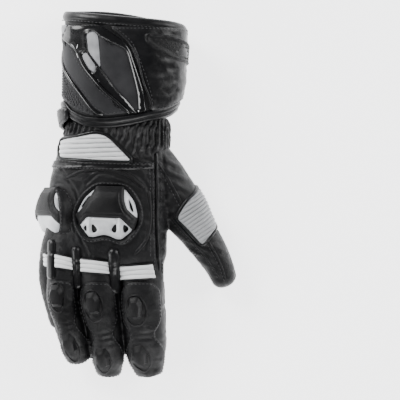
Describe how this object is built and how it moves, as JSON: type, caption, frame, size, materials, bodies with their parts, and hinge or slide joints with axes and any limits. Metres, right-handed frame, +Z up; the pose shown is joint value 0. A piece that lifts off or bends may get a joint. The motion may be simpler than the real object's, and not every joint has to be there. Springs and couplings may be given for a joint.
{
  "type": "motorcycle gauntlet, right hand",
  "caption": "Long-cuffed leather riding glove for the right hand, open at the cuff, with hard knuckle and finger guards and ribbed stretch panels.",
  "frame": {"origin": "middle of the palm slider's flat underside, on the surface that the glove lies on", "axes": "+X towards the thumb, +Y from the fingertips to the cuff mouth, +Z up out of the back of the hand"},
  "size_m": [0.1737, 0.3166, 0.0603],
  "materials": {
    "leather_black": "fine grained black leather with a soft sheen",
    "gloss_black": "smooth glossy black moulded film",
    "charcoal": "matte charcoal coated panel",
    "reflective_grey": "light grey reflective film",
    "mesh_black": "black spacer mesh",
    "stretch_white": "white ribbed stretch panel",
    "stretch_grey": "grey ribbed stretch panel",
    "guard_silver": "silver grey painted hard moulding",
    "guard_black": "satin black hard moulding"
  },
  "bodies": {
    "root": {"hand_shell": "leather_black", "thumb_stall": "leather_black", "index_stall": "leather_black", "middle_stall": "leather_black", "ring_stall": "leather_black", "little_stall": "leather_black", "cuff_shell": "leather_black", "cuff_rim": "leather_black", "cuff_hem": "leather_black", "cuff_frame": "gloss_black", "cuff_plate": "charcoal", "cuff_window_upper": "reflective_grey", "cuff_window_lower": "reflective_grey", "cuff_stripe": "charcoal", "cuff_piping_upper": "gloss_black", "cuff_piping_lower": "gloss_black", "cuff_mesh": "mesh_black", "cuff_palm_ribs": "leather_black", "cuff_palm_plate": "charcoal", "closure_flap": "leather_black", "flap_patch": "mesh_black", "wrist_gather": "leather_black", "wrist_strap": "leather_black", "strap_tab": "mesh_black", "back_panel": "stretch_white", "back_hem": "leather_black", "side_seam": "leather_black", "guard_surround": "leather_black", "guard_base": "guard_silver", "guard_shield": "guard_black", "side_guard_base": "guard_silver", "side_guard_shield": "guard_black", "index_strip": "stretch_white", "middle_strip": "stretch_white", "ring_strip": "stretch_white", "little_strip": "stretch_white", "index_bridge": "leather_black", "middle_bridge": "leather_black", "ring_bridge": "leather_black", "index_overlay": "leather_black", "index_slider_upper": "guard_black", "index_slider_lower": "guard_black", "middle_overlay": "leather_black", "middle_slider_upper": "guard_black", "middle_slider_lower": "guard_black", "ring_overlay": "leather_black", "ring_slider_upper": "guard_black", "ring_slider_lower": "guard_black", "thumb_panel": "stretch_grey", "palm_slider": "leather_black", "heel_slider": "gloss_black", "grip_patch": "leather_black"}
  },
  "joints": []
}
